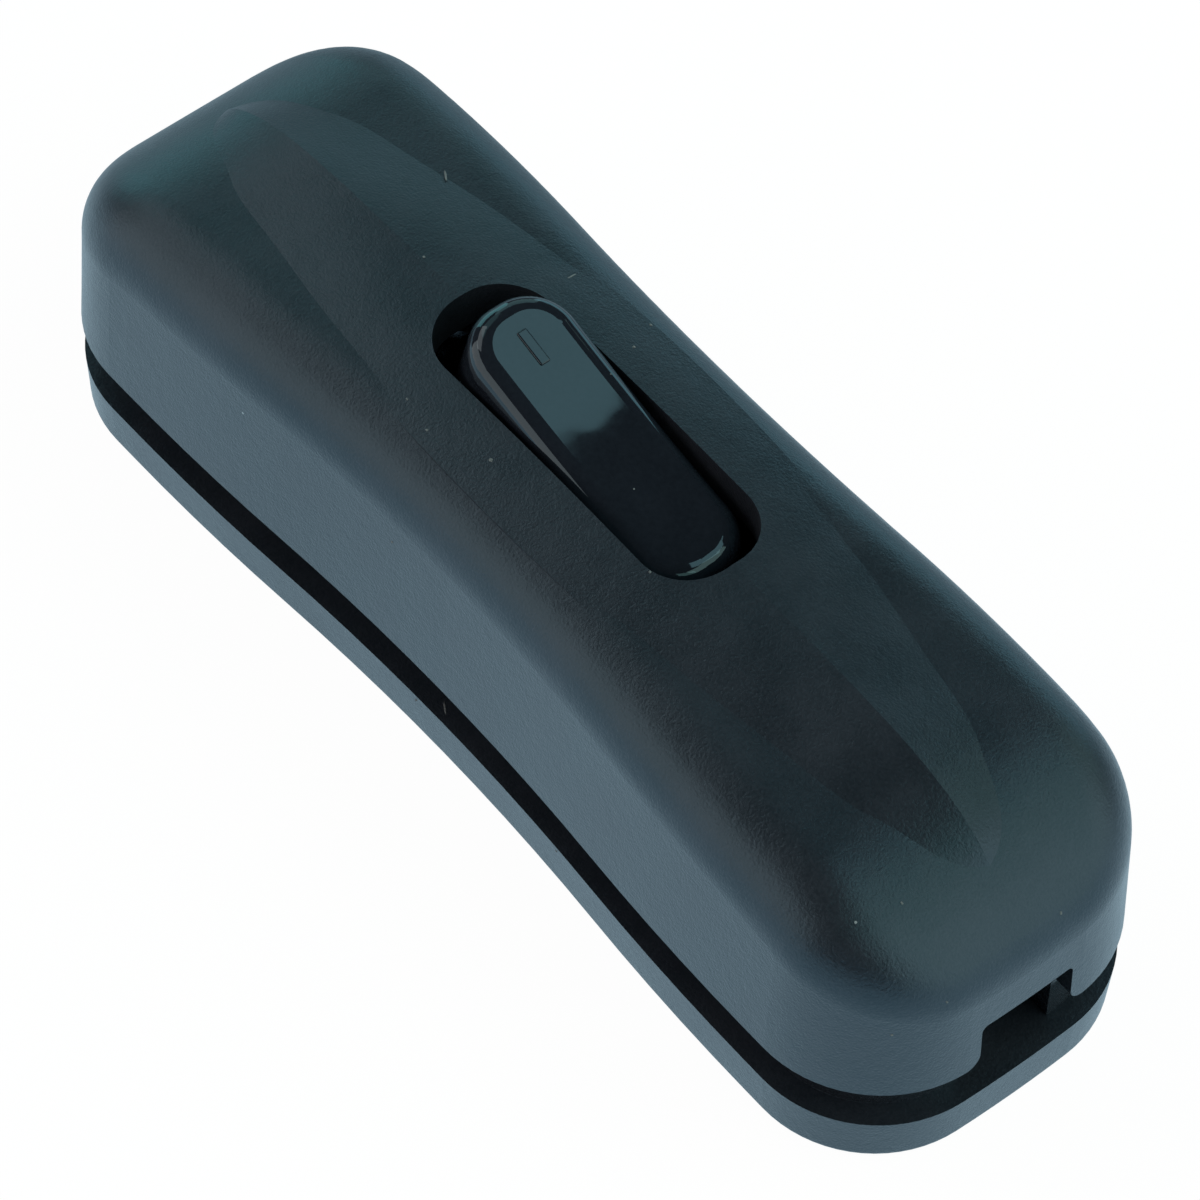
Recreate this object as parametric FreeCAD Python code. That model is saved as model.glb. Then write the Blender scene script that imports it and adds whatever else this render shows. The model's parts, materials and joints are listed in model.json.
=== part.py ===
import FreeCAD, Part
import os
from math import asin, atan2, cos, pi, radians, sin, sqrt, tan

# Inline cord switch: a hand sized rocker switch that sits in a two core lamp cord.
# +X runs along the body towards the cord inlet that faces the viewer, +Z is up.
# The origin is the middle of the flat underside. Sizes are in millimetres, angles in degrees.

# How far a cutter runs past what it cuts, and how far two joined forms run into each other
past = 1.0
joined = 0.3

# Plan shape of the housing, seen from above
body_length = 68.0
end_width = 21.3
waist_depth = 1.0
level_run = 1.45
end_radius = 88.0
corner_radius = 7.3

# Base shell
rim_height = 3.2
base_overhang = 0.1
base_draft = 3.7
foot_round = 0.4
floor_thickness = 2.0
footing = floor_thickness / 2
plinth_inset = 1.4
tongue_thickness = 1.0
tongue_height = 2.2
tongue_clearance = 0.1

# Top cover
cover_bottom = 6.1
cover_wall = 1.9
cover_draft = 2.0
crown_height = 19.4
crown_radius = 250.0
end_fall_length = 8.7
end_fall_radius = 11.0
shoulder_radius = 4.0
roof_thickness = 1.8

# Raised lens on the cover
lens_end_margin = 3.7
lens_half_width = 6.3
lens_fullness = 1.05
lens_slope = 0.30
ridge_fade_length = 22.0
lens_skirt = 0.8
lens_stations = 6
lens_tip_sink = 0.1

# Cord inlets
inlet_width = 5.9
inlet_top = 9.2
inlet_flare = 0.9
inlet_top_round = 0.4

# Rocker and its slot
slot_length = 21.4
slot_width = 6.8
slot_end_flat = 0.8
rocker_gap = 0.3
rocker_end_gap = 1.6
rocker_corner_gap = 0.2
rocker_pivot_height = 16.6
rocker_crest = 4.1
rocker_dish = 0.4
rocker_edge_round = 1.1
rocker_skirt = 1.0
rocker_wall = 1.1
rocker_tilt = 13.5
trunnion_diameter = 2.4
trunnion_length = 1.7
running_fit = 0.05
seat_gap = 0.05

# Cheeks and posts that hold the trunnions
cheek_thickness = 1.6
cheek_length = 8.0
cheek_bottom = 12.0
bearing_post_length = 5.0

# Plunger and spring inside the rocker
bore_diameter = 3.2
bore_boss_diameter = 5.2
bore_roof = 0.8
bore_mouth = 4.6
plunger_tip_radius = 1.2
plunger_tip_gap = 0.05
plunger_well_diameter = 2.1
plunger_head_top = 1.5
plunger_well_floor = 4.8
spring_wire = 0.3
spring_turns = 7
spring_side_gap = 0.08

# Contact blade
blade_axis_height = 7.9
blade_thickness = 0.8
blade_width = 4.0
blade_half_length = 7.2
blade_bend = 5.0
blade_tilt = 9.0
blade_lug_diameter = 1.0
blade_lug_length = 1.2
blade_stop_length = 1.0
blade_stop_overhang = 0.3
contact_station = 6.2
contact_diameter = 2.6
contact_height = 0.9
contact_dome_radius = 3.2
contact_shank = 1.4
contact_upset = 0.3
closed_gap = 0.05

# Brass strips and their screw terminals
strip_bottom = 4.4
strip_thickness = 0.8
strip_width = 3.0
pad_size = 5.4
terminal_end_margin = 18.8
terminal_row = 3.1
jog_length = 2.9
ear_thickness = 0.8
ear_length = 2.6
ear_gap = 0.2
fulcrum_tail = 1.6
neutral_wall_gap = 0.3
neutral_neck_width = 1.2
neutral_support_station = 5.0
collar_diameter = 4.2
collar_depth = 1.2
collar_clearance = 0.3
terminal_screw_diameter = 3.0
terminal_screw_reach = 1.6
terminal_head_diameter = 5.0
terminal_head_height = 2.0
saddle_size = 5.2
saddle_thickness = 0.9
saddle_corner = 0.8
thread_gap = 0.05
head_crown = 0.9
slot_cut_width = 0.8
slot_cut_depth = 0.9
barrier_thickness = 0.6
barrier_top = 8.0

# Cord clamps
clamp_end_margin = 6.1
clamp_width = 3.6
clamp_side_gap = 0.85
clamp_thickness = 2.0
clamp_end_flat = 0.2
clamp_hump = 0.8
clamp_hump_gap = 0.45
clamp_ear = 1.6
clamp_boss_diameter = 4.0
clamp_seat = 7.6
clamp_screw_diameter = 2.2
clamp_head_diameter = 3.8
clamp_head_height = 1.5
clamp_screw_reach = 5.0
clamp_screw_angle = 40.0
clamp_skew_angle = 10.0
cord_rib_height = 0.5
cord_rib_width = 0.7
cord_rib_pitch = 1.2

# Screws that join the two shells
housing_end_margin = 12.0
housing_boss_diameter = 7.0
housing_boss_top = 6.4
housing_screw_diameter = 2.9
housing_head_diameter = 5.2
housing_head_height = 1.8
housing_head_depth = 0.6
housing_recess_clearance = 0.3
housing_screw_reach = 7.0
housing_screw_angle = 25.0
cover_post_diameter = 5.6
cover_post_gap = 0.1
screw_hole_spare = 0.4
hole_clearance = 0.2

# Places and sizes that follow from the ones above
half_length = body_length / 2
end_half = end_width / 2
waist_half = end_half - waist_depth
inner_inset = cover_wall + tongue_clearance + tongue_thickness
fall_start = half_length - end_fall_length
lens_half_length = half_length - lens_end_margin
slot_corner = (slot_width - slot_end_flat) / 2
rocker_length = slot_length - 2 * rocker_end_gap
rocker_corner = slot_corner - rocker_corner_gap
terminal_station = half_length - terminal_end_margin
jog_station = terminal_station - pad_size / 2 - jog_length
neutral_row = waist_half - inner_inset - neutral_wall_gap - neutral_neck_width / 2
housing_station = half_length - housing_end_margin
clamp_station = half_length - clamp_end_margin
clamp_length = 2 * (end_half - inner_inset - clamp_side_gap)
clamp_corner = (clamp_width - clamp_end_flat) / 2
clamp_boss_spacing = clamp_length - 2 * clamp_ear
clamp_hump_half = (clamp_boss_spacing - clamp_boss_diameter) / 2 - clamp_hump_gap


def vec(x, y, z=0.0):
    return FreeCAD.Vector(x, y, z)


X_AXIS, Y_AXIS, Z_AXIS = vec(1, 0, 0), vec(0, 1, 0), vec(0, 0, 1)


def box(x0, x1, y0, y1, z0, z1):
    return Part.makeBox(x1 - x0, y1 - y0, z1 - z0, vec(x0, y0, z0))


def post(x, y, z0, z1, diameter):
    return Part.makeCylinder(diameter / 2, z1 - z0, vec(x, y, z0), Z_AXIS)


def cross_pin(x, z, y0, y1, diameter):
    return Part.makeCylinder(diameter / 2, y1 - y0, vec(x, y0, z), Y_AXIS)


def fuse(first, *others):
    return first.fuse(list(others)).removeSplitter()


def solid_of(shape):
    """The single solid inside a shape."""
    if len(shape.Solids) != 1:
        raise ValueError("expected one solid, found %d" % len(shape.Solids))
    return shape.Solids[0]


def rounded_rectangle(length, width, radius, z):
    a, b, r = length / 2, width / 2, radius
    k = r * (1 - sqrt(0.5))
    corners = [(1, 1), (-1, 1), (-1, -1), (1, -1)]
    edges = []
    for i, (sx, sy) in enumerate(corners):
        on_side = vec(sx * a, sy * (b - r), z)
        on_end = vec(sx * (a - r), sy * b, z)
        middle = vec(sx * (a - k), sy * (b - k), z)
        start, stop = (on_side, on_end) if i % 2 == 0 else (on_end, on_side)
        edges.append(Part.Arc(start, middle, stop).toShape())
    straight = []
    for i, edge in enumerate(edges):
        follower = edges[(i + 1) % 4]
        straight.append(Part.makeLine(edge.Vertexes[-1].Point, follower.Vertexes[0].Point))
    ordered = [edge for pair in zip(edges, straight) for edge in pair]
    return Part.Wire(ordered)


def rounded_block(length, width, radius, z0, z1):
    return Part.Face(rounded_rectangle(length, width, radius, z0)).extrude(vec(0, 0, z1 - z0))


def outline(inset, z):
    """Closed plan curve of the housing, moved inwards by inset, made of tangent arcs."""
    end_x = half_length - end_radius
    corner_y = end_half - corner_radius
    corner_x = end_x + sqrt((end_radius - corner_radius) ** 2 - corner_y ** 2)
    flat_x = corner_x - level_run
    side_radius = (flat_x ** 2 + waist_depth ** 2) / (4 * waist_depth)
    turn = atan2(flat_x, 2 * side_radius - waist_depth)
    swing = atan2(corner_y, corner_x - end_x)

    def on_waist(a):
        r = side_radius + inset
        return r * sin(a), waist_half + side_radius - r * cos(a)

    def on_side(a):
        r = side_radius - inset
        return flat_x - r * sin(a), end_half - side_radius + r * cos(a)

    def on_corner(a):
        r = corner_radius - inset
        return corner_x + r * cos(a), corner_y + r * sin(a)

    def on_end(a):
        r = end_radius - inset
        return end_x + r * cos(a), r * sin(a)

    level = [on_side(0), ((flat_x + corner_x) / 2, end_half - inset), on_corner(pi / 2)]
    quarter = [
        [on_waist(0), on_waist(turn / 2), on_waist(turn)],
        [on_side(turn), on_side(turn / 2), on_side(0)],
        level,
        [on_corner(pi / 2), on_corner((pi / 2 + swing) / 2), on_corner(swing)],
        [on_end(swing), on_end(swing / 2), on_end(0)],
    ]
    edges = []
    for sx, sy, backwards in ((1, 1, False), (1, -1, True), (-1, -1, False), (-1, 1, True)):
        for points in (reversed(quarter) if backwards else quarter):
            run = list(reversed(points)) if backwards else points
            a, m, b = [vec(sx * x, sy * y, z) for x, y in run]
            if points is level:
                edges.append(Part.makeLine(a, b))
            else:
                edges.append(Part.Arc(a, m, b).toShape())
    return Part.Wire(edges)


def drafted(inset, z0, z1, draft):
    """Housing shaped block that narrows upwards (or downwards, with a negative draft)."""
    step = (z1 - z0) * tan(radians(draft))
    low, high = (inset, inset + step) if draft >= 0 else (inset - step, inset)
    return Part.makeLoft([outline(low, z0), outline(high, z1)], True, True)


def straight_block(inset, z0, z1):
    return Part.Face(outline(inset, z0)).extrude(vec(0, 0, z1 - z0))


def fall_centre():
    """Centre of the arc that carries the crown down to the near end, tangent to the long arc."""
    lean = asin(fall_start / crown_radius)
    reach = crown_radius - end_fall_radius
    return reach * sin(lean), crown_height - crown_radius + reach * cos(lean)


def crown_at(x):
    if abs(x) <= fall_start:
        return crown_height - crown_radius + sqrt(crown_radius ** 2 - x ** 2)
    centre_x, centre_z = fall_centre()
    return centre_z + sqrt(end_fall_radius ** 2 - (abs(x) - centre_x) ** 2)


def crown_block(drop):
    """Everything below the crown, lowered by drop: a long arc with a tighter arc at each end."""
    lean = asin(fall_start / crown_radius)
    centre_x, centre_z = fall_centre()
    long_radius, fall_radius = crown_radius - drop, end_fall_radius - drop

    def on_fall(angle):
        return centre_x + fall_radius * sin(angle), centre_z + fall_radius * cos(angle)

    start, middle, stop = on_fall(lean), on_fall((lean + pi / 2) / 2), on_fall(pi / 2)
    edges = []
    for side in (1, -1):
        points = [vec(side * x, -end_width, z) for x, z in (start, middle, stop)]
        edges.append(Part.Arc(*points).toShape())
        edges.append(Part.makeLine(points[-1], vec(side * stop[0], -end_width, 0)))
    top = vec(0, -end_width, crown_height - crown_radius + long_radius)
    left, right = [vec(side * start[0], -end_width, start[1]) for side in (-1, 1)]
    edges.append(Part.Arc(left, top, right).toShape())
    edges.append(Part.makeLine(vec(-stop[0], -end_width, 0), vec(stop[0], -end_width, 0)))
    return Part.Face(Part.Wire(Part.__sortEdges__(edges))).extrude(vec(0, 2 * end_width, 0))


def top_edges(shape, above):
    found = []
    for edge in shape.Edges:
        if min(p.z for p in edge.discretize(5)) > above:
            found.append(edge)
    return found


def lens_section(x, half_width, sink):
    """One cross section of the lens: two facets that meet on a ridge, with a skirt below."""
    base = crown_at(x) - sink
    ridge = lens_slope * min(abs(x) / ridge_fade_length, 1.0) ** 3
    rise = half_width * (lens_slope + ridge) / 2
    bend = (lens_slope - ridge) / (2 * half_width) if half_width > lens_skirt else 0.0
    toe = half_width + lens_skirt

    def height(y):
        if y <= half_width:
            return base + rise - ridge * y - bend * y * y
        return base - lens_slope * (y - half_width)

    bottom = crown_at(lens_half_length) - shoulder_radius
    right = [vec(x, toe * k / 4, height(toe * k / 4)) for k in range(5)]
    left = [vec(x, -p.y, p.z) for p in reversed(right)]
    left_curve, right_curve = Part.BSplineCurve(), Part.BSplineCurve()
    left_curve.interpolate(left)
    right_curve.interpolate(right)
    edges = [left_curve.toShape(), right_curve.toShape()]
    edges.append(Part.makeLine(right[-1], vec(x, toe, bottom)))
    edges.append(Part.makeLine(vec(x, toe, bottom), vec(x, -toe, bottom)))
    edges.append(Part.makeLine(vec(x, -toe, bottom), left[0]))
    return Part.Wire(edges)


def lens():
    sections = []
    for k in range(-lens_stations, lens_stations + 1):
        angle = k * pi / 2 / lens_stations
        width = lens_half_width * cos(angle) ** lens_fullness if abs(k) < lens_stations else 0.0
        sink = 0.0 if abs(k) < lens_stations else lens_tip_sink
        sections.append(lens_section(lens_half_length * sin(angle), width, sink))
    return Part.makeLoft(sections, True, False)


def outer_shell_form():
    """The closed outside of the cover: drafted walls, crowned top, soft shoulder and lens."""
    block = drafted(0, cover_bottom, crown_height + past, cover_draft).common(crown_block(0))
    rounded = block.makeFillet(shoulder_radius, top_edges(block, cover_bottom + past))
    return rounded.fuse(lens())


def cavity_form():
    block = drafted(cover_wall, cover_bottom, crown_height + past, cover_draft)
    block = block.common(crown_block(roof_thickness))
    return block.makeFillet(shoulder_radius - cover_wall, top_edges(block, cover_bottom + past))


def inlet_notch(x0, x1):
    """Opening for the cord in an end wall of the cover, flared where it meets the lower edge."""
    a, r, t = inlet_width / 2, inlet_flare, inlet_top_round
    k, q = r * (1 - sqrt(0.5)), t * (1 - sqrt(0.5))
    low, top = cover_bottom, inlet_top
    right = [
        Part.Arc(vec(x0, a + r, low), vec(x0, a + k, low + k), vec(x0, a, low + r)).toShape(),
        Part.makeLine(vec(x0, a, low + r), vec(x0, a, top - t)),
        Part.Arc(vec(x0, a, top - t), vec(x0, a - q, top - q), vec(x0, a - t, top)).toShape(),
    ]
    left = [edge.mirror(vec(0, 0, 0), Y_AXIS) for edge in reversed(right)]
    roof = Part.makeLine(vec(x0, a - t, top), vec(x0, t - a, top))
    sill = Part.makeLine(vec(x0, -a - r, low), vec(x0, a + r, low))
    wire = Part.Wire(Part.__sortEdges__(right + [roof] + left + [sill]))
    opening = Part.Face(wire).extrude(vec(x1 - x0, 0, 0))
    below = box(x0, x1, -a - r, a + r, low - past, low)
    return opening.fuse(below)


def make_cover():
    shell = outer_shell_form().cut(cavity_form())
    inner = slot_width / 2
    half = cheek_length / 2
    roof = rocker_pivot_height + trunnion_diameter
    extras = []
    for side in (1, -1):
        y0, y1 = sorted((side * inner, side * (inner + cheek_thickness)))
        extras.append(box(-half, half, y0, y1, cheek_bottom, roof))
    for side in (1, -1):
        x = side * housing_station
        extras.append(post(x, 0, housing_boss_top + cover_post_gap, crown_at(x) - roof_thickness / 2,
                           cover_post_diameter))
    shell = fuse(shell, *extras)
    bearing = trunnion_diameter + 2 * running_fit
    reach = inner + cheek_thickness
    above = crown_height + lens_half_width * lens_slope + past
    cuts = [rounded_block(slot_length, slot_width, slot_corner, cheek_bottom - past, above)]
    cuts.append(cross_pin(0, rocker_pivot_height, -reach, reach, bearing))
    cuts.append(box(-bearing / 2, bearing / 2, -reach, reach, cheek_bottom - past, rocker_pivot_height))
    for side in (1, -1):
        ends = sorted((side * (half_length - 2 * cover_wall), side * (half_length + past)))
        cuts.append(inlet_notch(*ends))
        hole_top = housing_boss_top + housing_screw_reach + screw_hole_spare
        cuts.append(post(side * housing_station, 0, housing_boss_top, hole_top,
                         housing_screw_diameter + 2 * thread_gap))
    return shell.cut(cuts)


def pad_support(x, y):
    half = pad_size / 2
    block = box(x - half, x + half, y - half, y + half, footing, strip_bottom)
    pocket = post(x, y, strip_bottom - terminal_screw_reach - collar_clearance, strip_bottom,
                  collar_diameter + 2 * collar_clearance)
    return block.cut(pocket)


def bearing_post(side):
    """Upright from the floor of the base that closes the trunnion's open seat from below."""
    y0 = slot_width / 2 + hole_clearance / 2
    y1 = slot_width / 2 + cheek_thickness - hole_clearance / 2
    y0, y1 = sorted((side * y0, side * y1))
    half = bearing_post_length / 2
    neck = trunnion_diameter / 2 + running_fit - hole_clearance / 2
    top = rocker_pivot_height - trunnion_diameter / 2 - seat_gap
    foot = box(-half, half, y0, y1, footing, cheek_bottom - 2 * hole_clearance)
    return foot.fuse(box(-neck, neck, y0, y1, floor_thickness, top))


def blade_underside(x):
    """Height of the blade's lower face at rest, at a place x in the blade's own frame (x below 0)."""
    bend, tilt = radians(blade_bend), radians(blade_tilt)
    z = -x * tan(bend) - blade_thickness / 2 / cos(bend)
    return blade_axis_height + x * sin(tilt) + z * cos(tilt)


def make_base():
    rim = drafted(base_overhang, 0, rim_height, -base_draft)
    foot = [edge for edge in rim.Edges if max(p.z for p in edge.discretize(3)) < foot_round / 10]
    rim = rim.makeFillet(foot_round, foot)
    tongue_inset = inner_inset - tongue_thickness
    plinth = straight_block(plinth_inset, rim_height - joined, cover_bottom)
    tongue = drafted(tongue_inset, cover_bottom - joined, cover_bottom + tongue_height, cover_draft)
    well = straight_block(inner_inset, floor_thickness, cover_bottom + tongue_height + past)
    shell = fuse(rim, plinth, tongue).cut(well)
    reach = half_length - inner_inset
    half = inlet_width / 2
    extras = []
    for end in (1, -1):
        x0, x1 = sorted((end * (clamp_station - clamp_width / 2), end * (reach + joined)))
        extras.append(box(x0, x1, -half, half, footing, rim_height))
        for k in (-1, 0, 1):
            x = end * clamp_station + k * cord_rib_pitch
            extras.append(box(x - cord_rib_width / 2, x + cord_rib_width / 2, -half, half,
                              floor_thickness, rim_height + cord_rib_height))
        for side in (1, -1):
            extras.append(post(end * clamp_station, side * clamp_boss_spacing / 2, footing, clamp_seat,
                               clamp_boss_diameter))
            extras.append(pad_support(end * terminal_station, side * terminal_row))
        extras.append(post(end * housing_station, 0, footing, housing_boss_top, housing_boss_diameter))
        barrier_end = housing_station - housing_boss_diameter / 2 + joined
        x0, x1 = sorted((end * (terminal_station - pad_size / 2), end * barrier_end))
        extras.append(box(x0, x1, -barrier_thickness / 2, barrier_thickness / 2, footing, barrier_top))
    for side in (1, -1):
        extras.append(bearing_post(side))
        edges = (strip_width / 2 + seat_gap, blade_width / 2 + blade_stop_overhang)
        y0, y1 = sorted(side * edge for edge in edges)
        x = -blade_half_length + blade_stop_overhang
        extras.append(box(x, x + blade_stop_length, y0, y1, footing, blade_underside(x) - 2 * seat_gap))
        x = side * neutral_support_station
        extras.append(box(x - neutral_neck_width / 2, x + neutral_neck_width / 2,
                          neutral_row - neutral_neck_width / 2, neutral_row + neutral_neck_width,
                          footing, strip_bottom))
    ear_reach = blade_width / 2 + ear_gap + ear_thickness
    extras.append(box(-ear_length, fulcrum_tail, -ear_reach, ear_reach, footing, strip_bottom))
    x, _ = closed_contact()
    extras.append(box(x - strip_width / 2, x + strip_width, -strip_width / 2, strip_width / 2, footing,
                      strip_bottom))
    shell = fuse(shell, *extras)
    cuts = []
    for end in (1, -1):
        x = end * housing_station
        bearing = housing_head_depth + housing_head_height
        cuts.append(post(x, 0, -past, bearing, housing_head_diameter + 2 * housing_recess_clearance))
        cuts.append(post(x, 0, 0, housing_boss_top + past, housing_screw_diameter + 2 * hole_clearance))
        x0, x1 = sorted((end * (reach - joined), end * (half_length + past)))
        cuts.append(box(x0, x1, -half, half, rim_height, cover_bottom + tongue_height + past))
        for side in (1, -1):
            cuts.append(post(end * clamp_station, side * clamp_boss_spacing / 2,
                             clamp_seat - clamp_screw_reach - screw_hole_spare, clamp_seat + past,
                             clamp_screw_diameter + 2 * thread_gap))
    return shell.cut(cuts)


def make_rocker():
    """Rocker in its own frame, level, with its pivot at the origin, then tilted to the off position."""
    width = slot_width - 2 * rocker_gap
    half = rocker_length / 2
    body = rounded_block(rocker_length, width, rocker_corner, -rocker_skirt, rocker_crest + joined)
    dish_radius = (half ** 2 + rocker_dish ** 2) / (2 * rocker_dish)
    centre = rocker_crest - rocker_dish + dish_radius
    body = body.cut(cross_pin(0, centre, -width, width, 2 * dish_radius))
    body = body.makeFillet(rocker_edge_round, top_edges(body, rocker_crest - 2 * rocker_dish))
    w = rocker_wall
    hollow = rounded_block(rocker_length - 2 * w, width - 2 * w, rocker_corner - w, -rocker_skirt - past,
                           rocker_crest - rocker_dish - w)
    body = body.cut(hollow)
    boss = post(0, 0, -bore_mouth, rocker_crest - rocker_dish - w / 2, bore_boss_diameter)
    pins = []
    for side in (1, -1):
        y0, y1 = sorted((side * (width / 2 - w), side * (width / 2 + trunnion_length)))
        pins.append(cross_pin(0, 0, y0, y1, trunnion_diameter))
    body = fuse(body, boss, *pins)
    body = body.cut(post(0, 0, -bore_mouth - past, bore_roof, bore_diameter))
    return tilt_with_rocker(body)


def tilt_with_rocker(shape):
    copy = shape.copy()
    copy.rotate(vec(0, 0, 0), Y_AXIS, rocker_tilt)
    copy.translate(vec(0, 0, rocker_pivot_height))
    return copy


def tip_depth():
    """Distance of the plunger tip's centre below the pivot, so that it passes the blade in mid swing."""
    clear = blade_thickness / 2 + plunger_tip_radius + plunger_tip_gap
    return rocker_pivot_height - blade_axis_height - clear / cos(radians(blade_bend))


def make_plunger():
    depth = tip_depth()
    barrel_end = -depth + plunger_tip_radius
    barrel = post(0, 0, barrel_end, -plunger_head_top, bore_diameter - 2 * running_fit)
    tip = Part.makeSphere(plunger_tip_radius, vec(0, 0, -depth))
    stem = post(0, 0, -depth, barrel_end, 2 * plunger_tip_radius)
    well = post(0, 0, -plunger_well_floor, -plunger_head_top + past, plunger_well_diameter)
    return tilt_with_rocker(fuse(barrel, stem, tip).cut(well))


def make_spring():
    """Compression spring from the floor of the plunger's well to the roof of the rocker's bore."""
    radius = plunger_well_diameter / 2 - spring_side_gap - spring_wire / 2
    low = -plunger_well_floor + spring_wire / 2
    height = bore_roof + plunger_well_floor - spring_wire
    helix = Part.makeLongHelix(height / spring_turns, height, radius)
    circle = Part.Wire(Part.makeCircle(spring_wire / 2, vec(radius, 0, 0), Y_AXIS))
    coil = Part.Wire(helix).makePipeShell([circle], True, True)
    coil.translate(vec(0, 0, low))
    return tilt_with_rocker(coil)


def place_on_blade(shape):
    copy = shape.copy()
    copy.rotate(vec(0, 0, 0), Y_AXIS, -blade_tilt)
    copy.translate(vec(0, 0, blade_axis_height))
    return copy


def on_blade_half(shape):
    """Put a shape made upright at the origin onto the bent half of the blade that carries the contact."""
    copy = shape.copy()
    copy.translate(vec(contact_station, 0, 0))
    copy.rotate(vec(0, 0, 0), Y_AXIS, -blade_bend)
    return copy


def make_blade():
    half_t = blade_thickness / 2
    arms = []
    for side in (1, -1):
        arm = box(0, blade_half_length, -blade_width / 2, blade_width / 2, -half_t, half_t)
        arm.rotate(vec(0, 0, 0), Y_AXIS, -blade_bend)
        arms.append(arm if side == 1 else arm.mirror(vec(0, 0, 0), X_AXIS))
    reach = blade_width / 2
    bend = cross_pin(0, 0, -reach, reach, blade_thickness)
    lugs = []
    for side in (1, -1):
        y0, y1 = sorted((side * (reach - joined), side * (reach + blade_lug_length)))
        lugs.append(cross_pin(0, 0, y0, y1, blade_lug_diameter))
    blade = fuse(*arms, bend, *lugs)
    hole = post(0, 0, -blade_thickness, blade_thickness, contact_shank)
    return place_on_blade(blade.cut(on_blade_half(hole)))


def make_moving_contact():
    face = -blade_thickness / 2
    tip = face - contact_height
    head = post(0, 0, tip, face, contact_diameter)
    head = head.common(Part.makeSphere(contact_dome_radius, vec(0, 0, tip + contact_dome_radius)))
    shank = post(0, 0, face, -face, contact_shank)
    upset = post(0, 0, -face, -face + contact_upset, contact_shank + 2 * contact_upset)
    return place_on_blade(on_blade_half(fuse(head, shank, upset)))


def closed_contact():
    """Place and height of the moving contact's lowest point when the blade is tipped to on."""
    bend, tilt = radians(blade_bend), radians(blade_tilt)
    up = contact_dome_radius - contact_height - blade_thickness / 2
    x = contact_station * cos(bend) - up * sin(bend)
    z = contact_station * sin(bend) + up * cos(bend)
    height = blade_axis_height - x * sin(tilt) + z * cos(tilt) - contact_dome_radius
    return x * cos(tilt) + z * sin(tilt), height


def strip_face(points):
    corners = [vec(x, y, strip_bottom) for x, y in points]
    return Part.Face(Part.makePolygon(corners + corners[:1])).extrude(vec(0, 0, strip_thickness))


def terminal_pad(x, y):
    """Square end of a strip with a drawn and tapped collar under it."""
    half = pad_size / 2
    pad = box(x - half, x + half, y - half, y + half, strip_bottom, strip_bottom + strip_thickness)
    return pad.fuse(post(x, y, strip_bottom - collar_depth, strip_bottom, collar_diameter))


def tapped(shape, *places):
    holes = []
    for x, y in places:
        holes.append(post(x, y, strip_bottom - collar_depth - past, strip_bottom + strip_thickness + past,
                          terminal_screw_diameter + 2 * thread_gap))
    return shape.cut(holes)


def line_run(side, stop):
    """Strip from a line terminal to the middle line, then inwards as far as stop."""
    half = strip_width / 2
    pad_end = terminal_station - pad_size / 2
    jog = jog_station
    end = pad_end + joined
    outer = [(end, -terminal_row - half), (end, -terminal_row + half), (jog, half)]
    inner = [(stop, half), (stop, -half), (jog, -half)]
    return strip_face([(side * x, y) for x, y in outer + inner])


def make_fulcrum_strip():
    place = (-terminal_station, -terminal_row)
    inner = blade_width / 2 + ear_gap
    outer = inner + ear_thickness
    half = ear_length / 2
    top = strip_bottom + strip_thickness
    run = line_run(-1, -fulcrum_tail)
    strip = fuse(terminal_pad(*place), run, box(-half, half, -outer, outer, strip_bottom, top))
    ears = []
    for side in (1, -1):
        y0, y1 = sorted((side * inner, side * outer))
        ears.append(box(-half, half, y0, y1, strip_bottom, blade_axis_height + blade_lug_diameter / 4))
    seat = cross_pin(0, blade_axis_height, -outer - past, outer + past, blade_lug_diameter + 2 * running_fit)
    return tapped(fuse(strip, *ears).cut(seat), place)


def make_contact_strip():
    place = (terminal_station, -terminal_row)
    x, _ = closed_contact()
    strip = fuse(terminal_pad(*place), line_run(1, x - strip_width / 2))
    hole = post(x, 0, strip_bottom - past, strip_bottom + strip_thickness + past, contact_shank)
    return tapped(strip.cut(hole), place)


def make_fixed_contact():
    x, height = closed_contact()
    top = strip_bottom + strip_thickness
    head = post(x, 0, top, height - closed_gap, contact_diameter)
    shank = post(x, 0, strip_bottom, top, contact_shank)
    return fuse(head, shank)


def make_neutral_strip():
    half = strip_width / 2
    pad_end = terminal_station - pad_size / 2
    neck = jog_station
    low, high = neutral_row - neutral_neck_width / 2, neutral_row + neutral_neck_width / 2
    end = pad_end + joined
    outer = [(end, terminal_row + half), (neck, high), (-neck, high), (-end, terminal_row + half)]
    inner = [(-end, terminal_row - half), (-neck, low), (neck, low), (end, terminal_row - half)]
    places = [(end_x * terminal_station, terminal_row) for end_x in (1, -1)]
    strip = fuse(strip_face(outer + inner), *[terminal_pad(*place) for place in places])
    return tapped(strip, *places)


def slotted_screw(x, y, seat, tip, shank, head, head_height, turn=0.0):
    """Screw with a rounded slotted head that sits on seat and ends at tip, head upwards."""
    crown = head * head_crown
    top = seat + head_height
    cap = post(x, y, seat, top, head)
    cap = cap.common(Part.makeSphere(crown, vec(x, y, top - crown)))
    body = cap.fuse(post(x, y, tip, seat, shank)).removeSplitter()
    groove = box(x - head, x + head, y - slot_cut_width / 2, y + slot_cut_width / 2,
                 top - slot_cut_depth, top + past)
    groove.rotate(vec(x, y, 0), Z_AXIS, turn)
    return body.cut(groove)


def make_terminal_screw(x, y, turn):
    seat = strip_bottom + strip_thickness + saddle_thickness
    return slotted_screw(x, y, seat, strip_bottom - terminal_screw_reach, terminal_screw_diameter,
                         terminal_head_diameter, terminal_head_height, turn)


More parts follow.
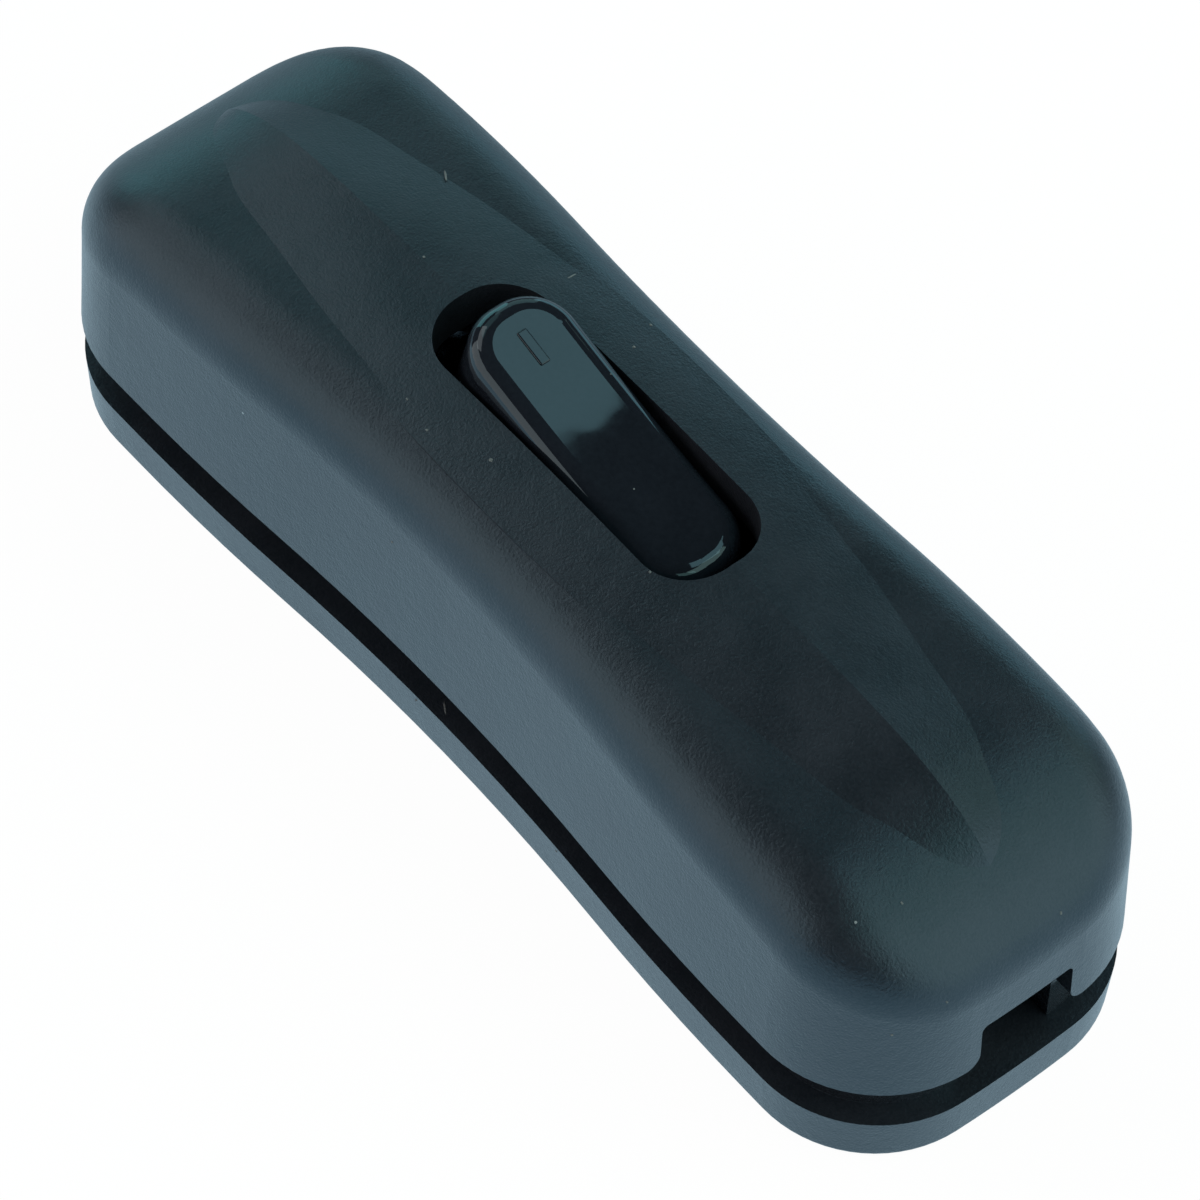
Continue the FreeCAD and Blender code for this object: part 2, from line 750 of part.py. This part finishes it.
def make_saddle(x, y):
    low = strip_bottom + strip_thickness
    plate = rounded_block(saddle_size, saddle_size, saddle_corner, low, low + saddle_thickness)
    plate.translate(vec(x, y))
    return plate.cut(post(x, y, low - past, low + saddle_thickness + past,
                          terminal_screw_diameter + 2 * hole_clearance))


def make_clamp(end):
    x = end * clamp_station
    bar = rounded_block(clamp_width, clamp_length, clamp_corner, clamp_seat, clamp_seat + clamp_thickness)
    hump = cross_pin(0, clamp_seat, -clamp_hump_half, clamp_hump_half, 2 * clamp_hump)
    bar = fuse(bar, hump)
    bar.translate(vec(x, 0))
    holes = []
    for side in (1, -1):
        y = side * clamp_boss_spacing / 2
        holes.append(post(x, y, clamp_seat - past, clamp_seat + clamp_thickness + past,
                          clamp_screw_diameter + 2 * hole_clearance))
    return bar.cut(holes)


def make_clamp_screw(end, side, turn):
    return slotted_screw(end * clamp_station, side * clamp_boss_spacing / 2, clamp_seat + clamp_thickness,
                         clamp_seat - clamp_screw_reach, clamp_screw_diameter, clamp_head_diameter,
                         clamp_head_height, turn)


def make_housing_screw(end):
    """Screw from the underside into the cover, its head sunk in the base."""
    x = end * housing_station
    seat = housing_head_depth + housing_head_height
    screw = slotted_screw(x, 0, -seat, -housing_boss_top - housing_screw_reach, housing_screw_diameter,
                          housing_head_diameter, housing_head_height, housing_screw_angle * end)
    screw.rotate(vec(x, 0, 0), X_AXIS, 180)
    return screw


os.makedirs("parts", exist_ok=True)
nodes = {
    "top_cover": make_cover(),
    "base_shell": make_base(),
    "rocker": make_rocker(),
    "plunger": make_plunger(),
    "rocker_spring": make_spring(),
    "contact_blade": make_blade(),
    "moving_contact": make_moving_contact(),
    "fulcrum_strip": make_fulcrum_strip(),
    "contact_strip": make_contact_strip(),
    "fixed_contact": make_fixed_contact(),
    "neutral_strip": make_neutral_strip(),
}
terminals = {
    "line_in": (-1, -1, 20),
    "line_out": (1, -1, 65),
    "neutral_in": (-1, 1, 110),
    "neutral_out": (1, 1, 155),
}
for name, (end, side, turn) in terminals.items():
    x, y = end * terminal_station, side * terminal_row
    nodes[name + "_screw"] = make_terminal_screw(x, y, turn)
    nodes[name + "_washer"] = make_saddle(x, y)
for end, end_name in ((-1, "far"), (1, "near")):
    nodes["cord_clamp_" + end_name] = make_clamp(end)
    nodes["housing_screw_" + end_name] = make_housing_screw(end)
    for side, side_name in ((-1, "left"), (1, "right")):
        turn = clamp_screw_angle * side + clamp_skew_angle * end
        nodes["clamp_screw_" + end_name + "_" + side_name] = make_clamp_screw(end, side, turn)

for name, shape in nodes.items():
    solid_of(shape).exportStep("parts/" + name + ".step")
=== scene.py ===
import json
from math import cos, radians, sin
from random import Random

import bmesh
import bpy
from mathutils import Matrix, Vector


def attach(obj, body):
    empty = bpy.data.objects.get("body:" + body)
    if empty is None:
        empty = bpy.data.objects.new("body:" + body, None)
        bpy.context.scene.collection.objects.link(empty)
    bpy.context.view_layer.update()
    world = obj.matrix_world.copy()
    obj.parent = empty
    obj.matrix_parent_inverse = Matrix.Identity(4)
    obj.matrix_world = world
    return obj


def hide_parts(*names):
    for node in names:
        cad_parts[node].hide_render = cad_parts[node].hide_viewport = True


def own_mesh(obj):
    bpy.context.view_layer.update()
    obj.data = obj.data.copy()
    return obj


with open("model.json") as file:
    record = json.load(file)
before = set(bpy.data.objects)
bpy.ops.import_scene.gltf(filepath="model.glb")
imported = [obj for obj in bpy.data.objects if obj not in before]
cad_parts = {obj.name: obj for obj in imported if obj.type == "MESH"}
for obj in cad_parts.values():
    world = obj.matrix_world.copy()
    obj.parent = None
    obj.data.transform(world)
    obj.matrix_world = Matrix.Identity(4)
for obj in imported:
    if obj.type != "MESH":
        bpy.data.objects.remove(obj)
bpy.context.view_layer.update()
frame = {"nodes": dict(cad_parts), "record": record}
nodes = frame["nodes"]
print("frame loaded with", len(nodes), "nodes")

mm = 0.001
alongSwitch = Vector((1, 0, 0))


# camera: the photo's own viewing direction, aimed so the switch sits where it does there
shot = {
    "azimuth": 48.745, "elevation": 54.182, "roll": 2.498,
    "distance": 363.97 * mm, "clipFrom": 10 * mm, "clipTo": 10.0,
    "focalPixels": 7000.0, "imagePixels": 1200.0, "sensor": 36.0,
    "originAcross": 584.86, "originDown": 665.0,
}


def makeCamera():
    azimuth, elevation, roll = (radians(shot[k]) for k in ("azimuth", "elevation", "roll"))
    back = Vector((sin(azimuth) * cos(elevation), -cos(azimuth) * cos(elevation), sin(elevation)))
    level = Vector((cos(azimuth), sin(azimuth), 0))
    lift = back.cross(level)
    right = level * cos(roll) + lift * sin(roll)
    up = lift * cos(roll) - level * sin(roll)
    middle = shot["imagePixels"] / 2
    across = (middle - shot["originAcross"]) / shot["focalPixels"]
    down = (shot["originDown"] - middle) / shot["focalPixels"]
    forward = (right * across + up * down - back).normalized()
    right = (right - forward * right.dot(forward)).normalized()
    up = right.cross(forward)
    data = bpy.data.cameras.new("photoCamera")
    data.sensor_width = shot["sensor"]
    data.lens = shot["focalPixels"] / shot["imagePixels"] * shot["sensor"]
    data.clip_start, data.clip_end = shot["clipFrom"], shot["clipTo"]
    cam = bpy.data.objects.new("photoCamera", data)
    turn = Matrix((right, up, -forward)).transposed().to_4x4()
    cam.matrix_world = Matrix.Translation(back * shot["distance"]) @ turn
    bpy.context.scene.collection.objects.link(cam)
    bpy.context.scene.camera = cam
    bpy.context.scene.view_settings.view_transform = "Standard"
    return cam.matrix_world.copy()


view = makeCamera()
print("camera placed")


def seatAt(across, down, names):
    # where the line of sight through a pixel of the photo first meets one of these nodes
    middle = shot["imagePixels"] / 2
    aim = Vector((across - middle, middle - down, -shot["focalPixels"]))
    aim = (view.to_3x3() @ aim).normalized()
    eye = view.translation
    found = []
    for name in names:
        met, place, normal, face = nodes[name].ray_cast(eye, aim)
        if met:
            found.append(((place - eye).length, place, normal))
    distance, place, normal = min(found, key=lambda hit: hit[0])
    return place, normal


def frameOn(place, normal, along):
    # local frame with Z out of the surface and X along the given direction
    across = normal.cross(along).normalized()
    ahead = across.cross(normal).normalized()
    turn = Matrix((ahead, across, normal)).transposed().to_4x4()
    return Matrix.Translation(place) @ turn


def newPiece(name, mesh, material, body):
    data = bpy.data.meshes.new(name)
    mesh.to_mesh(data)
    mesh.free()
    data.materials.append(material)
    piece = bpy.data.objects.new(name, data)
    bpy.context.scene.collection.objects.link(piece)
    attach(piece, body)
    return piece


# small helpers for node trees
def feed(tree, value, socket):
    # a socket takes another node's output, a colour or a number
    if isinstance(value, bpy.types.NodeSocket):
        tree.links.new(value, socket)
    elif isinstance(value, tuple):
        socket.default_value = (*value[:3], 1.0)
    else:
        socket.default_value = value


def addNode(tree, kind, **settings):
    node = tree.nodes.new(kind)
    for key, value in settings.items():
        setattr(node, key, value)
    return node


def newGroup(name, inputs, outputs):
    group = bpy.data.node_groups.new(name, "ShaderNodeTree")
    for label in inputs:
        group.interface.new_socket(name=label, in_out="INPUT", socket_type="NodeSocketFloat")
    for label in outputs:
        group.interface.new_socket(name=label, in_out="OUTPUT", socket_type="NodeSocketFloat")
    start = addNode(group, "NodeGroupInput")
    end = addNode(group, "NodeGroupOutput")
    return group, start, end


def placeGroup(tree, group, **values):
    node = addNode(tree, "ShaderNodeGroup")
    node.node_tree = group
    for label, value in values.items():
        node.inputs[label].default_value = value
    return node


def mathNode(tree, operation, first, second):
    node = addNode(tree, "ShaderNodeMath", operation=operation)
    for socket, value in zip(node.inputs, (first, second)):
        feed(tree, value, socket)
    return node.outputs["Value"]


def mixNode(tree, kind, mask, first, second):
    node = addNode(tree, "ShaderNodeMix", data_type=kind)
    for label, value in (("Factor", mask), ("A", first), ("B", second)):
        feed(tree, value, node.inputs[label])
    return node.outputs["Result"]


def mapRange(tree, value, span, toLow, toHigh):
    node = addNode(tree, "ShaderNodeMapRange", clamp=True)
    labels = ("Value", "From Min", "From Max", "To Min", "To Max")
    for label, number in zip(labels, (value, *span, toLow, toHigh)):
        feed(tree, number, node.inputs[label])
    return node.outputs["Result"]


def addNoise(tree, place, scale, detail, roughness=0.5):
    noise = addNode(tree, "ShaderNodeTexNoise")
    feed(tree, place.outputs["Object"], noise.inputs["Vector"])
    feed(tree, scale, noise.inputs["Scale"])
    feed(tree, detail, noise.inputs["Detail"])
    feed(tree, roughness, noise.inputs["Roughness"])
    return noise.outputs["Fac"]


def bandMask(tree, low, high):
    # 1 between two heights of the object, 0 elsewhere
    place = addNode(tree, "ShaderNodeTexCoord")
    split = addNode(tree, "ShaderNodeSeparateXYZ")
    feed(tree, place.outputs["Object"], split.inputs["Vector"])
    above = mathNode(tree, "GREATER_THAN", split.outputs["Z"], low)
    below = mathNode(tree, "LESS_THAN", split.outputs["Z"], high)
    return mathNode(tree, "MULTIPLY", above, below)


def addBump(tree, shader, height, distance):
    bump = addNode(tree, "ShaderNodeBump")
    bump.inputs["Distance"].default_value = distance
    bump.inputs["Strength"].default_value = 1.0
    feed(tree, height, bump.inputs["Height"])
    feed(tree, bump.outputs["Normal"], shader.inputs["Normal"])


def newMaterial(name):
    material = bpy.data.materials.new(name)
    material.use_nodes = True
    tree = material.node_tree
    shader = tree.nodes["Principled BSDF"]
    return material, tree, shader


# moulded grain: fine rounded pits and bumps, as a sparked mould leaves them
mouldedGrain = {
    "fineDetail": 3.0, "fineRoughness": 0.6,
    "coarseShare": 0.22, "coarseDetail": 2.0,
    "broadScale": 260.0, "broadDetail": 4.0, "mottleShare": 0.5,
}


def makeGrainGroup(look):
    group, start, end = newGroup("mouldedGrain", ["Size", "Unevenness"], ["Height", "Mottle"])
    place = addNode(group, "ShaderNodeTexCoord")
    scale = mathNode(group, "DIVIDE", 1.0, start.outputs["Size"])
    fine = addNoise(group, place, scale, look["fineDetail"], look["fineRoughness"])
    coarseScale = mathNode(group, "MULTIPLY", scale, look["coarseShare"])
    coarse = addNoise(group, place, coarseScale, look["coarseDetail"])
    lumps = mathNode(group, "MULTIPLY", coarse, start.outputs["Unevenness"])
    feed(group, mathNode(group, "ADD", fine, lumps), end.inputs["Height"])
    broad = addNoise(group, place, look["broadScale"], look["broadDetail"])
    shares = [mathNode(group, "MULTIPLY", part, look["mottleShare"]) for part in (fine, broad)]
    feed(group, mathNode(group, "ADD", *shares), end.inputs["Mottle"])
    return group


# stray dust: a few pale specks with most of the surface left clean
def makeDustGroup():
    group, start, end = newGroup("strayDust", ["Spacing", "Reach", "Share"], ["Mask"])
    place = addNode(group, "ShaderNodeTexCoord")
    cells = addNode(group, "ShaderNodeTexVoronoi", feature="F1")
    feed(group, place.outputs["Object"], cells.inputs["Vector"])
    scale = mathNode(group, "DIVIDE", 1.0, start.outputs["Spacing"])
    feed(group, scale, cells.inputs["Scale"])
    near = mathNode(group, "LESS_THAN", cells.outputs["Distance"], start.outputs["Reach"])
    split = addNode(group, "ShaderNodeSeparateColor")
    feed(group, cells.outputs["Color"], split.inputs["Color"])
    chosen = mathNode(group, "LESS_THAN", split.outputs["Red"], start.outputs["Share"])
    feed(group, mathNode(group, "MULTIPLY", near, chosen), end.inputs["Mask"])
    return group


grainGroup = makeGrainGroup(mouldedGrain)
dustGroup = makeDustGroup()


def dustOver(tree, shader, plain, look):
    dust = placeGroup(tree, dustGroup, Spacing=look["dustSpacing"], Reach=look["dustReach"],
                      Share=look["dustShare"])
    colour = mixNode(tree, "RGBA", dust.outputs["Mask"], plain, look["dust"])
    feed(tree, colour, shader.inputs["Base Color"])


# matte black shells
shellFinish = {
    "dark": (0.013, 0.016, 0.021), "pale": (0.026, 0.029, 0.037), "toneSpan": (0.38, 0.62),
    "grainSize": 0.15 * mm, "grainDepth": 0.031 * mm, "unevenness": 0.6,
    "roughLow": 0.30, "roughHigh": 0.38, "roughSpan": (0.35, 0.65),
    "sheenTint": (0.52, 0.82, 1.0), "specularLevel": 0.55,
    "dust": (0.30, 0.33, 0.34), "dustSpacing": 3.2 * mm, "dustReach": 0.022, "dustShare": 0.12,
}
plinthFinish = {"low": 3.22 * mm, "high": 20 * mm, "rough": 0.10, "height": 0.5}


def makeShellMaterial(name, look, plinth=None):
    material, tree, shader = newMaterial(name)
    grain = placeGroup(tree, grainGroup, Size=look["grainSize"], Unevenness=look["unevenness"])
    mottle = grain.outputs["Mottle"]
    tone = mapRange(tree, mottle, look["toneSpan"], 0.0, 1.0)
    dustOver(tree, shader, mixNode(tree, "RGBA", tone, look["dark"], look["pale"]), look)
    rough = mapRange(tree, mottle, look["roughSpan"], look["roughLow"], look["roughHigh"])
    height = grain.outputs["Height"]
    if plinth:  # the plinth between the shells has no grain
        band = bandMask(tree, plinth["low"], plinth["high"])
        rough = mixNode(tree, "FLOAT", band, rough, plinth["rough"])
        height = mixNode(tree, "FLOAT", band, height, plinth["height"])
    feed(tree, rough, shader.inputs["Roughness"])
    feed(tree, look["sheenTint"], shader.inputs["Specular Tint"])
    feed(tree, look["specularLevel"], shader.inputs["Specular IOR Level"])
    addBump(tree, shader, height, look["grainDepth"])
    return material


# polished black rocker
rockerFinish = {
    "dark": (0.009, 0.012, 0.017), "pale": (0.014, 0.018, 0.025), "toneSpan": (0.35, 0.65),
    "grainSize": 0.3 * mm, "unevenness": 0.8,
    "waveSize": 3.2 * mm, "waveDepth": 0.014 * mm, "waveDetail": 1.0,
    "roughLow": 0.03, "roughHigh": 0.06, "roughSpan": (0.35, 0.70),
    "sheenTint": (0.70, 0.90, 1.0),
    "dust": (0.25, 0.28, 0.30), "dustSpacing": 2.4 * mm, "dustReach": 0.022, "dustShare": 0.10,
}


def makeRockerMaterial(name, look):
    material, tree, shader = newMaterial(name)
    place = addNode(tree, "ShaderNodeTexCoord")
    wave = addNoise(tree, place, 1.0 / look["waveSize"], look["waveDetail"])
    grain = placeGroup(tree, grainGroup, Size=look["grainSize"], Unevenness=look["unevenness"])
    mottle = grain.outputs["Mottle"]
    tone = mapRange(tree, mottle, look["toneSpan"], 0.0, 1.0)
    dustOver(tree, shader, mixNode(tree, "RGBA", tone, look["dark"], look["pale"]), look)
    rough = mapRange(tree, mottle, look["roughSpan"], look["roughLow"], look["roughHigh"])
    feed(tree, rough, shader.inputs["Roughness"])
    feed(tree, look["sheenTint"], shader.inputs["Specular Tint"])
    addBump(tree, shader, wave, look["waveDepth"])
    return material


# plastics and metals of the parts inside
innerFinish = {
    "unevenness": 0.5, "toneSpan": (0.35, 0.65), "roughSpan": (0.3, 0.7), "roughSpread": 0.2,
}
innerFinishes = {
    # first colour, second colour, roughness, metallic, grain size, grain depth
    "plunger_white": ((0.78, 0.76, 0.70), (0.84, 0.83, 0.79), 0.45, 0.0, 0.20 * mm, 0.002 * mm),
    "spring_steel": ((0.50, 0.50, 0.50), (0.60, 0.60, 0.61), 0.28, 1.0, 0.10 * mm, 0.001 * mm),
    "blade_brass": ((0.72, 0.54, 0.25), (0.82, 0.64, 0.34), 0.30, 1.0, 0.15 * mm, 0.002 * mm),
    "contact_silver": ((0.76, 0.75, 0.72), (0.85, 0.84, 0.81), 0.34, 1.0, 0.12 * mm, 0.002 * mm),
    "strip_brass": ((0.70, 0.52, 0.23), (0.80, 0.62, 0.32), 0.34, 1.0, 0.15 * mm, 0.002 * mm),
    "screw_zinc": ((0.58, 0.60, 0.63), (0.70, 0.71, 0.73), 0.26, 1.0, 0.12 * mm, 0.002 * mm),
    "washer_zinc": ((0.56, 0.58, 0.60), (0.66, 0.67, 0.69), 0.32, 1.0, 0.15 * mm, 0.002 * mm),
    "clamp_grey": ((0.09, 0.09, 0.10), (0.13, 0.13, 0.14), 0.45, 0.0, 0.18 * mm, 0.006 * mm),
}


def makeInnerMaterial(name, look, first, second, rough, metallic, grainSize, grainDepth):
    material, tree, shader = newMaterial(name)
    grain = placeGroup(tree, grainGroup, Size=grainSize, Unevenness=look["unevenness"])
    mottle = grain.outputs["Mottle"]
    tone = mapRange(tree, mottle, look["toneSpan"], 0.0, 1.0)
    feed(tree, mixNode(tree, "RGBA", tone, first, second), shader.inputs["Base Color"])
    low, high = rough * (1 - look["roughSpread"]), rough * (1 + look["roughSpread"])
    feed(tree, mapRange(tree, mottle, look["roughSpan"], low, high), shader.inputs["Roughness"])
    feed(tree, metallic, shader.inputs["Metallic"])
    addBump(tree, shader, grain.outputs["Height"], grainDepth)
    return material


finishes = {
    "cover_black": makeShellMaterial("cover_black_finish", shellFinish),
    "base_black": makeShellMaterial("base_black_finish", shellFinish, plinthFinish),
    "rocker_black": makeRockerMaterial("rocker_black_finish", rockerFinish),
}
for slot, values in innerFinishes.items():
    finishes[slot] = makeInnerMaterial(slot + "_finish", innerFinish, *values)
for row in frame["record"]["subparts"]:
    for materialSlot in nodes[row["node"]].material_slots:
        materialSlot.material = finishes[row["material_slot"]]
print("finishes given to every node")


# the coil spring shortens as the plunger slides up its bore; a copy with merged vertices and
# smooth shading stands for the stiff node
coilSpring = {"axis": (0.23345, 0.0, 0.97237), "travel": 0.6 * mm, "mergeWithin": 0.0005 * mm}


def makeCoilSpring(look):
    coil = bmesh.new()
    coil.from_mesh(nodes["rocker_spring"].data)
    bmesh.ops.remove_doubles(coil, verts=coil.verts, dist=look["mergeWithin"])
    for face in coil.faces:
        face.smooth = True
    spring = newPiece("coil_spring", coil, finishes["spring_steel"], "rocker")
    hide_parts("rocker_spring")
    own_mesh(spring)


makeCoilSpring(coilSpring)
print("coil spring ready")


# raised bar on the high end of the rocker, the plain sign for on
onMark = {
    "across": 533.5, "down": 347.0, "length": 2.1 * mm, "width": 0.62 * mm,
    "height": 0.10 * mm, "sunk": 0.12 * mm, "corner": 0.10 * mm, "edge": 0.085 * mm,
    "segments": 4,
}


def roundEdges(mesh, edges, radius, segments):
    bmesh.ops.bevel(mesh, geom=edges, offset=radius, segments=segments, profile=0.5,
                    affect="EDGES", material=-1)


def makeOnMark(look):
    bar = bmesh.new()
    bmesh.ops.create_cube(bar, size=1.0)
    size = (look["length"], look["width"], look["height"] + look["sunk"])
    bmesh.ops.scale(bar, vec=size, verts=bar.verts)
    uprights = [e for e in bar.edges if e.verts[0].co.z * e.verts[1].co.z < 0]
    roundEdges(bar, uprights, look["corner"], look["segments"])
    rim = [e for e in bar.edges if all(v.co.z > 0 for v in e.verts)]
    roundEdges(bar, rim, look["edge"], look["segments"])
    lift = (look["height"] - look["sunk"]) / 2
    bmesh.ops.translate(bar, vec=(0, 0, lift), verts=bar.verts)
    seat = frameOn(*seatAt(look["across"], look["down"], ["rocker"]), alongSwitch)
    bmesh.ops.transform(bar, matrix=seat, verts=bar.verts)
    bmesh.ops.recalc_face_normals(bar, faces=bar.faces)
    for face in bar.faces:
        face.smooth = len(face.verts) == 4  # only the level top and foot have more corners
    newPiece("on_mark", bar, finishes["rocker_black"], "rocker")


makeOnMark(onMark)


# the few dust specks and bits of lint that lie on the switch
dustBits = {
    "dark": (0.13, 0.15, 0.155), "pale": (0.20, 0.22, 0.225), "span": (0.4, 0.6),
    "roughLow": 0.8, "roughHigh": 1.0,
    "grainSize": 0.05 * mm, "grainDepth": 0.01 * mm, "grainUnevenness": 0.4,
    "flatness": 0.55, "unevenness": 0.18, "stretch": (1.0, 1.5), "subdivisions": 2, "seed": 11,
    "onCover": [  # pixel across, pixel down, breadth
        (424, 257, 0.15 * mm), (634, 347, 0.17 * mm), (407, 399, 0.11 * mm),
        (427, 430, 0.13 * mm), (491, 460, 0.20 * mm), (392, 542, 0.12 * mm),
        (416, 700, 0.12 * mm), (1061, 913, 0.14 * mm), (892, 1035, 0.14 * mm),
        (947, 1002, 0.12 * mm), (902, 903, 0.12 * mm), (651, 325, 0.13 * mm),
        (650, 572, 0.14 * mm), (556, 851, 0.10 * mm),
    ],
    "onRocker": [(634, 489, 0.10 * mm), (611, 374, 0.10 * mm)],
    "lint": [  # two ends in pixels, breadth
        ((445, 168), (446, 182), 0.13 * mm), ((568, 278), (576, 274), 0.09 * mm),
        ((444, 701), (446, 715), 0.10 * mm),
    ],
}


def makeDustMaterial(look):
    material, tree, shader = newMaterial("dust_finish")
    grain = placeGroup(tree, grainGroup, Size=look["grainSize"],
                       Unevenness=look["grainUnevenness"])
    mottle = grain.outputs["Mottle"]
    tone = mapRange(tree, mottle, look["span"], 0.0, 1.0)
    feed(tree, mixNode(tree, "RGBA", tone, look["dark"], look["pale"]),
         shader.inputs["Base Color"])
    rough = mapRange(tree, mottle, look["span"], look["roughLow"], look["roughHigh"])
    feed(tree, rough, shader.inputs["Roughness"])
    addBump(tree, shader, grain.outputs["Height"], look["grainDepth"])
    return material


def addBit(bits, seat, length, breadth, look, chance):
    ball = bmesh.ops.create_icosphere(bits, subdivisions=look["subdivisions"], radius=0.5)
    made = ball["verts"]
    for vert in made:
        vert.co *= 1 + look["unevenness"] * chance.uniform(-1, 1)
    bmesh.ops.scale(bits, vec=(length, breadth, breadth * look["flatness"]), verts=made)
    bmesh.ops.transform(bits, matrix=seat, verts=made)


def makeDust(look):
    material = makeDustMaterial(look)
    chance = Random(look["seed"])
    shells = ["top_cover", "base_shell"]
    bits = bmesh.new()
    for across, down, breadth in look["onCover"]:
        seat = frameOn(*seatAt(across, down, shells), alongSwitch)
        addBit(bits, seat, breadth * chance.uniform(*look["stretch"]), breadth, look, chance)
    for first, second, breadth in look["lint"]:
        start, normal = seatAt(*first, shells)
        end, normal = seatAt(*second, shells)
        seat = frameOn((start + end) / 2, normal, end - start)
        addBit(bits, seat, (end - start).length, breadth, look, chance)
    newPiece("dust_on_housing", bits, material, "housing")
    bits = bmesh.new()
    for across, down, breadth in look["onRocker"]:
        seat = frameOn(*seatAt(across, down, ["rocker"]), alongSwitch)
        addBit(bits, seat, breadth, breadth, look, chance)
    newPiece("dust_on_rocker", bits, material, "rocker")


makeDust(dustBits)
print("mark and dust placed")


# floor, lamps and world
studio = {
    "floorSize": 6.0, "floorColour": (0.90, 0.90, 0.90), "floorRough": 0.9, "floorShine": 0.1,
    "floorGlow": 0.94, "seenFloor": (1.03, 1.03, 1.03),
    # painted pool of light: the glow colours the floor shows in reflections, near and far from
    # the switch
    "nearPaintedPool": (0.78, 1.08, 1.26), "farPaintedPool": (0.34, 0.50, 0.60),
    "poolAcross": (-0.50, 0.86, 0.0), "poolSpan": (14 * mm, 42 * mm),
    "worldColour": (0.90, 0.85, 1.0), "worldStrength": 0.05,
    "lampDistance": 1.2,
}
lamps = [
    # name, azimuth, elevation, width, height, watts, colour
    ("frontWall", 330, 15, 1.50, 1.10, 8.0, (1.0, 0.94, 0.90)),
    ("frontWallTop", 290, 45, 0.70, 0.50, 1.8, (1.0, 0.90, 0.86)),
    ("nearWall", 116, 17, 1.45, 1.05, 8.4, (0.88, 1.0, 0.96)),
    ("nearWallTop", 128, 54, 0.80, 0.42, 1.8, (0.74, 1.0, 0.90)),
    ("highNearPanel", 85, 48, 0.50, 0.40, 0.7, (0.60, 1.0, 0.90)),
    ("rightPanel", 168, 28, 0.60, 0.50, 1.0, (0.73, 1.0, 0.85)),
    ("backPanel", 200, 8, 0.90, 0.35, 1.4, (0.42, 0.86, 1.0)),
    ("leftBackPanel", 230, 25, 0.60, 0.60, 0.9, (0.57, 1.0, 1.0)),
    ("leftPanel", 258, 10, 0.60, 0.60, 1.7, (0.38, 0.96, 1.0)),
    ("highLeftPanel", 260, 50, 0.60, 0.50, 0.5, (0.58, 1.0, 0.98)),
    ("rockerPanel", 163, 64, 0.36, 0.32, 0.65, (0.60, 0.95, 1.0)),
]


def makeFloorMaterial():
    # white to the camera; to reflections in the switch the floor glows with a painted pool of
    # light that dims behind its far end
    material, tree, shader = newMaterial("floorPaper")
    feed(tree, studio["floorColour"], shader.inputs["Base Color"])
    feed(tree, studio["floorRough"], shader.inputs["Roughness"])
    feed(tree, studio["floorShine"], shader.inputs["Specular IOR Level"])
    path = addNode(tree, "ShaderNodeLightPath")
    place = addNode(tree, "ShaderNodeTexCoord")
    along = addNode(tree, "ShaderNodeVectorMath", operation="DOT_PRODUCT")
    feed(tree, place.outputs["Object"], along.inputs[0])
    along.inputs[1].default_value = studio["poolAcross"]
    # painted pool of light: the reflected glow fades from the near colour to the far colour
    # across the floor
    fade = mapRange(tree, along.outputs["Value"], studio["poolSpan"], 0.0, 1.0)
    paintedPool = mixNode(tree, "RGBA", fade, studio["nearPaintedPool"], studio["farPaintedPool"])
    glow = addNode(tree, "ShaderNodeEmission")
    tint = mixNode(tree, "RGBA", path.outputs["Is Camera Ray"], paintedPool, studio["seenFloor"])
    feed(tree, tint, glow.inputs["Color"])
    seen = path.outputs["Is Camera Ray"]
    for ray in ("Is Glossy Ray", "Is Transmission Ray"):
        seen = mathNode(tree, "MAXIMUM", seen, path.outputs[ray])
    mix = addNode(tree, "ShaderNodeMixShader")
    feed(tree, mathNode(tree, "MULTIPLY", seen, studio["floorGlow"]), mix.inputs["Fac"])
    feed(tree, shader.outputs["BSDF"], mix.inputs[1])
    feed(tree, glow.outputs["Emission"], mix.inputs[2])
    feed(tree, mix.outputs["Shader"], tree.nodes["Material Output"].inputs["Surface"])
    return material


def makeFloor():
    bpy.ops.mesh.primitive_plane_add(size=studio["floorSize"], location=(0, 0, 0))
    floor = bpy.context.active_object
    floor.name = "floorSheet"
    floor.data.materials.append(makeFloorMaterial())


def makeLamps():
    for name, azimuth, elevation, width, height, watts, colour in lamps:
        turn, rise = radians(azimuth), radians(elevation)
        away = Vector((sin(turn) * cos(rise), -cos(turn) * cos(rise), sin(rise)))
        data = bpy.data.lights.new(name, "AREA")
        data.shape = "RECTANGLE"
        data.size, data.size_y = width, height
        data.energy = watts
        data.color = colour
        lamp = bpy.data.objects.new(name, data)
        lamp.location = away * studio["lampDistance"]
        lamp.rotation_euler = away.to_track_quat("Z", "Y").to_euler()
        lamp.visible_camera = False
        bpy.context.scene.collection.objects.link(lamp)


def makeWorld():
    world = bpy.data.worlds.new("studioWorld")
    bpy.context.scene.world = world
    world.use_nodes = True
    tree = world.node_tree
    back = tree.nodes["Background"]
    feed(tree, studio["worldColour"], back.inputs["Color"])
    feed(tree, studio["worldStrength"], back.inputs["Strength"])


makeFloor()
makeLamps()
makeWorld()
print("studio ready")
